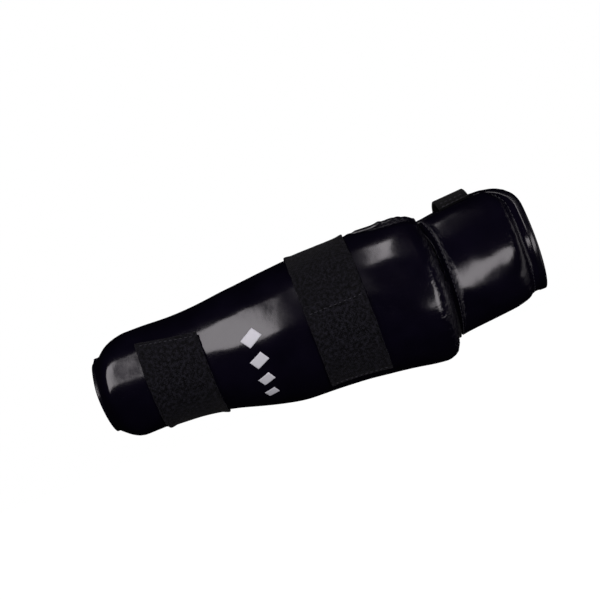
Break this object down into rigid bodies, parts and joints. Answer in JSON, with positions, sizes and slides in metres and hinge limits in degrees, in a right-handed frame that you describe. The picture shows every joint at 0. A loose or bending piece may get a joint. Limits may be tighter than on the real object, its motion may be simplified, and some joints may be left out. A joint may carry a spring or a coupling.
{
  "type": "forearm and elbow guard",
  "caption": "Padded forearm guard with a jointed elbow cup, a front slit, elastic straps with hook and loop ends, and a glossy stitched cover.",
  "frame": {"origin": "centre of the arm passage at the wrist mouth", "axes": "+X along the arm from the wrist to the elbow, -Y the outer side of the arm that the pad covers, +Z the front of the arm where the slit is"},
  "size_m": [0.358, 0.1149, 0.1216],
  "materials": {
    "cover_vinyl": "gloss",
    "edge_vinyl": "satin",
    "foam_core": "matte",
    "lining_cloth": "matte",
    "elastic": "matte",
    "tab_webbing": "matte",
    "hook_tape": "matte",
    "loop_tape": "matte",
    "thread": "satin",
    "print_ink": "satin"
  },
  "bodies": {
    "forearm_shell": {"shell_cover": "cover_vinyl", "shell_foam": "foam_core", "shell_lining": "lining_cloth", "wrist_rim_binding": "edge_vinyl", "elbow_rim_gusset": "cover_vinyl", "front_edge_hem": "edge_vinyl", "rear_edge_hem": "edge_vinyl", "front_edge_stitches": "thread", "wrist_strap_band": "elastic", "wrist_strap_loops": "loop_tape", "forearm_strap_band": "elastic", "forearm_strap_loops": "loop_tape", "strap_anchor_stitches": "thread", "front_print": "print_ink", "hinge_web": "elastic"},
    "elbow_cup": {"cup_cover": "cover_vinyl", "cup_foam": "foam_core", "cup_lining": "lining_cloth", "cup_end_binding": "edge_vinyl", "cup_edge_hems": "edge_vinyl", "cup_strap": "elastic", "cup_strap_stitches": "thread", "cup_end_stitches": "thread"},
    "wrist_strap_lead": {"wrist_strap_lead": "elastic"},
    "wrist_strap_end": {"wrist_strap_tab": "tab_webbing", "wrist_strap_hooks": "hook_tape", "wrist_tab_stitches": "thread"},
    "forearm_strap_lead": {"forearm_strap_lead": "elastic"},
    "forearm_strap_end": {"forearm_strap_tab": "tab_webbing", "forearm_strap_hooks": "hook_tape", "forearm_tab_stitches": "thread"}
  },
  "joints": [
    {"name": "elbow_flex", "type": "hinge", "parent": "forearm_shell", "child": "elbow_cup", "pos_m": [0.2845, 0, 0.046], "axis": [0, -1, 0], "range_deg": [0, 45], "deforming": ["hinge_web"]},
    {"name": "wrist_lead_lift", "type": "hinge", "parent": "forearm_shell", "child": "wrist_strap_lead", "pos_m": [0.071, 0.02392, -0.03705], "axis": [0.9984, 0.0164, -0.0548], "range_deg": [0, 50]},
    {"name": "wrist_tab_peel", "type": "hinge", "parent": "wrist_strap_lead", "child": "wrist_strap_end", "pos_m": [0.071, -0.02165, -0.04049], "axis": [0.9983, -0.0143, -0.0562], "range_deg": [0, 80]},
    {"name": "forearm_lead_lift", "type": "hinge", "parent": "forearm_shell", "child": "forearm_strap_lead", "pos_m": [0.2, -0.01424, 0.0492], "axis": [-0.999, 0.0137, -0.0428], "range_deg": [0, 50]},
    {"name": "forearm_tab_peel", "type": "hinge", "parent": "forearm_strap_lead", "child": "forearm_strap_end", "pos_m": [0.2, -0.05558, 0.00469], "axis": [-0.9986, 0.0521, 0.0005], "range_deg": [0, 80]}
  ],
  "couplings": [
    {"joint": "wrist_lead_lift", "follows": "wrist_tab_peel", "ratio": 0.5},
    {"joint": "forearm_lead_lift", "follows": "forearm_tab_peel", "ratio": 0.5}
  ]
}
